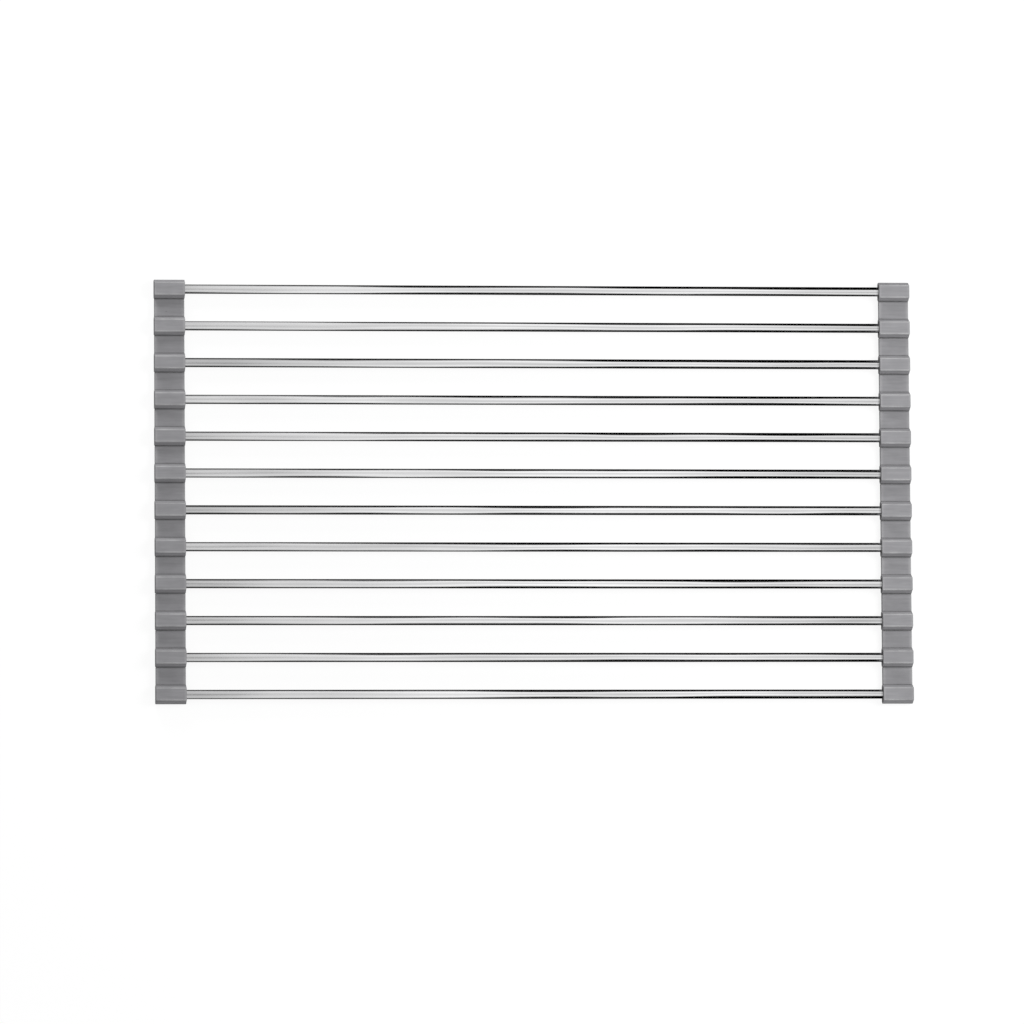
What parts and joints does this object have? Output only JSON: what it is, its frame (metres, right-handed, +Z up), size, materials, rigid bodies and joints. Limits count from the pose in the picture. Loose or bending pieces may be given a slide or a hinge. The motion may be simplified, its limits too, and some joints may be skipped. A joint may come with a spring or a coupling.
{
  "type": "sink drying rack",
  "caption": "Roll-up over-sink drying rack: parallel round steel tubes with their ends held in two flexible grey silicone strips.",
  "frame": {"origin": "on the surface that the rack lies on, under the centre of the rack", "axes": "+X along the tubes to the right, +Y across the tubes to the rear, +Z up"},
  "size_m": [0.52, 0.2902, 0.0094],
  "materials": {
    "steel": "polished",
    "silicone": "matte"
  },
  "bodies": {
    "link_01": {"tube_01": "steel", "left_sleeve_01": "silicone", "right_sleeve_01": "silicone", "left_web_01": "silicone", "right_web_01": "silicone"},
    "link_02": {"tube_02": "steel", "left_sleeve_02": "silicone", "right_sleeve_02": "silicone", "left_web_02": "silicone", "right_web_02": "silicone"},
    "link_03": {"tube_03": "steel", "left_sleeve_03": "silicone", "right_sleeve_03": "silicone", "left_web_03": "silicone", "right_web_03": "silicone"},
    "link_04": {"tube_04": "steel", "left_sleeve_04": "silicone", "right_sleeve_04": "silicone", "left_web_04": "silicone", "right_web_04": "silicone"},
    "link_05": {"tube_05": "steel", "left_sleeve_05": "silicone", "right_sleeve_05": "silicone", "left_web_05": "silicone", "right_web_05": "silicone"},
    "link_06": {"tube_06": "steel", "left_sleeve_06": "silicone", "right_sleeve_06": "silicone", "left_web_06": "silicone", "right_web_06": "silicone"},
    "link_07": {"tube_07": "steel", "left_sleeve_07": "silicone", "right_sleeve_07": "silicone", "left_web_07": "silicone", "right_web_07": "silicone"},
    "link_08": {"tube_08": "steel", "left_sleeve_08": "silicone", "right_sleeve_08": "silicone", "left_web_08": "silicone", "right_web_08": "silicone"},
    "link_09": {"tube_09": "steel", "left_sleeve_09": "silicone", "right_sleeve_09": "silicone", "left_web_09": "silicone", "right_web_09": "silicone"},
    "link_10": {"tube_10": "steel", "left_sleeve_10": "silicone", "right_sleeve_10": "silicone", "left_web_10": "silicone", "right_web_10": "silicone"},
    "link_11": {"tube_11": "steel", "left_sleeve_11": "silicone", "right_sleeve_11": "silicone", "left_web_11": "silicone", "right_web_11": "silicone"},
    "link_12": {"tube_12": "steel", "left_sleeve_12": "silicone", "right_sleeve_12": "silicone"}
  },
  "joints": [
    {"name": "web_hinge_01", "type": "hinge", "parent": "link_01", "child": "link_02", "pos_m": [0, -0.126, 0.00298], "axis": [1, 0, 0], "range_deg": [0, 42], "stiffness_Nm_per_rad": 0.01, "deforming": ["left_web_01", "right_web_01"]},
    {"name": "web_hinge_02", "type": "hinge", "parent": "link_02", "child": "link_03", "pos_m": [0, -0.1008, 0.00298], "axis": [1, 0, 0], "range_deg": [0, 42.2], "stiffness_Nm_per_rad": 0.01, "deforming": ["left_web_02", "right_web_02"]},
    {"name": "web_hinge_03", "type": "hinge", "parent": "link_03", "child": "link_04", "pos_m": [0, -0.0756, 0.00298], "axis": [1, 0, 0], "range_deg": [0, 42.9], "stiffness_Nm_per_rad": 0.01, "deforming": ["left_web_03", "right_web_03"]},
    {"name": "web_hinge_04", "type": "hinge", "parent": "link_04", "child": "link_05", "pos_m": [0, -0.0504, 0.00298], "axis": [1, 0, 0], "range_deg": [0, 44.4], "stiffness_Nm_per_rad": 0.01, "deforming": ["left_web_04", "right_web_04"]},
    {"name": "web_hinge_05", "type": "hinge", "parent": "link_05", "child": "link_06", "pos_m": [0, -0.0252, 0.00298], "axis": [1, 0, 0], "range_deg": [0, 46.9], "stiffness_Nm_per_rad": 0.01, "deforming": ["left_web_05", "right_web_05"]},
    {"name": "web_hinge_06", "type": "hinge", "parent": "link_06", "child": "link_07", "pos_m": [0, 0, 0.00298], "axis": [1, 0, 0], "range_deg": [0, 50.5], "stiffness_Nm_per_rad": 0.01, "deforming": ["left_web_06", "right_web_06"]},
    {"name": "web_hinge_07", "type": "hinge", "parent": "link_07", "child": "link_08", "pos_m": [0, 0.0252, 0.00298], "axis": [1, 0, 0], "range_deg": [0, 55.4], "stiffness_Nm_per_rad": 0.01, "deforming": ["left_web_07", "right_web_07"]},
    {"name": "web_hinge_08", "type": "hinge", "parent": "link_08", "child": "link_09", "pos_m": [0, 0.0504, 0.00298], "axis": [1, 0, 0], "range_deg": [0, 61.7], "stiffness_Nm_per_rad": 0.01, "deforming": ["left_web_08", "right_web_08"]},
    {"name": "web_hinge_09", "type": "hinge", "parent": "link_09", "child": "link_10", "pos_m": [0, 0.0756, 0.00298], "axis": [1, 0, 0], "range_deg": [0, 69.5], "stiffness_Nm_per_rad": 0.01, "deforming": ["left_web_09", "right_web_09"]},
    {"name": "web_hinge_10", "type": "hinge", "parent": "link_10", "child": "link_11", "pos_m": [0, 0.1008, 0.00298], "axis": [1, 0, 0], "range_deg": [0, 78.9], "stiffness_Nm_per_rad": 0.01, "deforming": ["left_web_10", "right_web_10"]},
    {"name": "web_hinge_11", "type": "hinge", "parent": "link_11", "child": "link_12", "pos_m": [0, 0.126, 0.00298], "axis": [1, 0, 0], "range_deg": [0, 90.1], "stiffness_Nm_per_rad": 0.01, "deforming": ["left_web_11", "right_web_11"]}
  ],
  "couplings": [
    {"joint": "web_hinge_02", "follows": "web_hinge_01", "ratio": 1.0036},
    {"joint": "web_hinge_03", "follows": "web_hinge_01", "ratio": 1.0204},
    {"joint": "web_hinge_04", "follows": "web_hinge_01", "ratio": 1.0563},
    {"joint": "web_hinge_05", "follows": "web_hinge_01", "ratio": 1.1156},
    {"joint": "web_hinge_06", "follows": "web_hinge_01", "ratio": 1.202},
    {"joint": "web_hinge_07", "follows": "web_hinge_01", "ratio": 1.3187},
    {"joint": "web_hinge_08", "follows": "web_hinge_01", "ratio": 1.4685},
    {"joint": "web_hinge_09", "follows": "web_hinge_01", "ratio": 1.6542},
    {"joint": "web_hinge_10", "follows": "web_hinge_01", "ratio": 1.8782},
    {"joint": "web_hinge_11", "follows": "web_hinge_01", "ratio": 2.1429}
  ]
}
